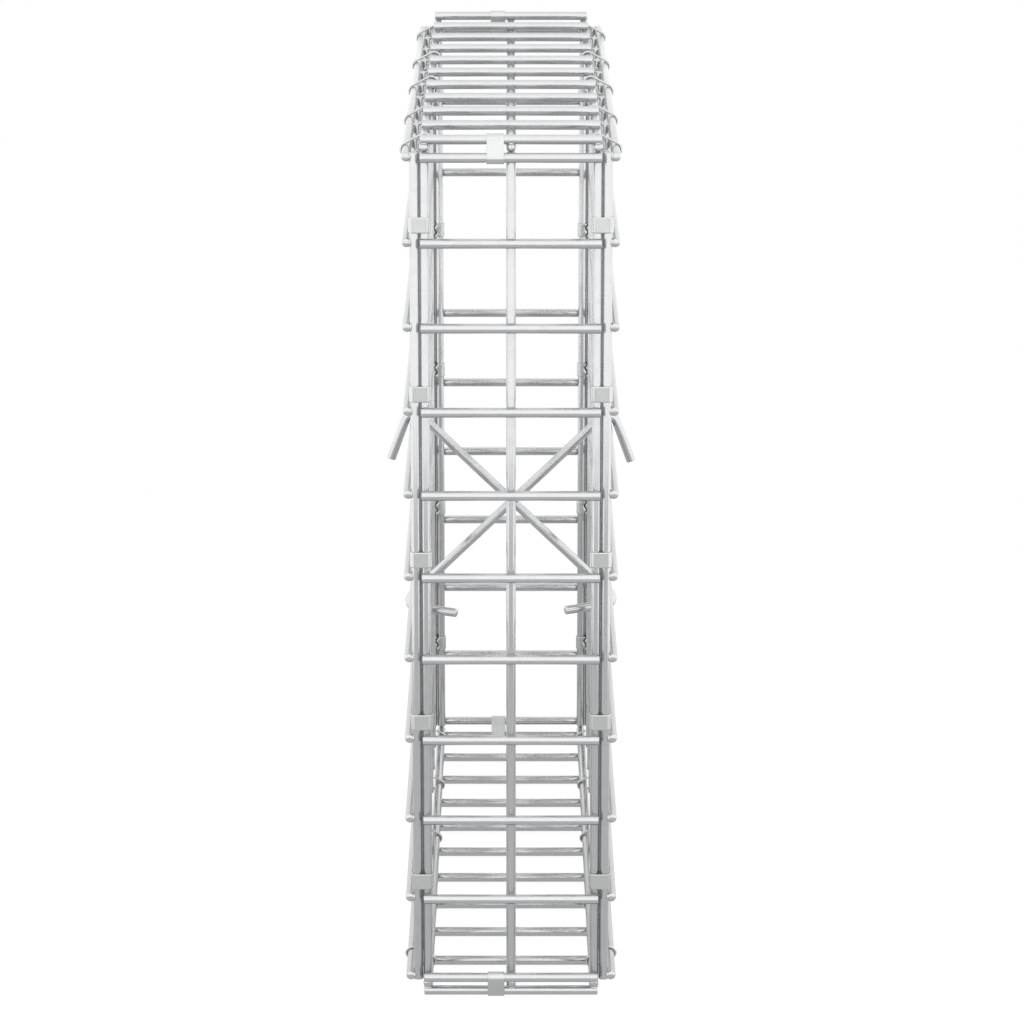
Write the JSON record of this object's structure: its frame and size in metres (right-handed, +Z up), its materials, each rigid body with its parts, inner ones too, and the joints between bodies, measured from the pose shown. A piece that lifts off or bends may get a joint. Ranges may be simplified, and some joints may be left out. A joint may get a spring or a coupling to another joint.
{
  "type": "gabion wall basket",
  "caption": "Narrow upright gabion basket of welded galvanised wire mesh, with a cover, sheet clips, edge rings and crossed tie rods, to be filled with stone as a wall.",
  "frame": {"origin": "middle of the footprint, on the ground that the basket stands on", "axes": "+Z up, Y along the wall, X across its thickness; the front end panel is at -Y"},
  "size_m": [0.1546, 0.5163, 0.5274],
  "materials": {
    "mesh_wire": "galvanised, satin",
    "clip_sheet": "galvanised, satin",
    "ring_wire": "galvanised, satin",
    "tie_wire": "galvanised, satin"
  },
  "bodies": {
    "root": {"front_end_panel": "mesh_wire", "back_end_panel": "mesh_wire", "left_side_panel": "mesh_wire", "right_side_panel": "mesh_wire", "cover_panel": "mesh_wire", "floor_panel": "mesh_wire", "front_left_clip_1": "clip_sheet", "front_left_clip_2": "clip_sheet", "front_left_clip_3": "clip_sheet", "front_left_clip_4": "clip_sheet", "front_left_clip_5": "clip_sheet", "front_right_clip_1": "clip_sheet", "front_right_clip_2": "clip_sheet", "front_right_clip_3": "clip_sheet", "front_right_clip_4": "clip_sheet", "front_right_clip_5": "clip_sheet", "back_left_clip_1": "clip_sheet", "back_left_clip_2": "clip_sheet", "back_left_clip_3": "clip_sheet", "back_left_clip_4": "clip_sheet", "back_left_clip_5": "clip_sheet", "back_right_clip_1": "clip_sheet", "back_right_clip_2": "clip_sheet", "back_right_clip_3": "clip_sheet", "back_right_clip_4": "clip_sheet", "back_right_clip_5": "clip_sheet", "cover_front_clip": "clip_sheet", "cover_back_clip": "clip_sheet", "floor_front_clip": "clip_sheet", "floor_back_clip": "clip_sheet", "top_left_rings": "ring_wire", "top_right_rings": "ring_wire", "bottom_left_rings": "ring_wire", "bottom_right_rings": "ring_wire", "falling_tie_rod": "tie_wire", "rising_tie_rod": "tie_wire"}
  },
  "joints": []
}
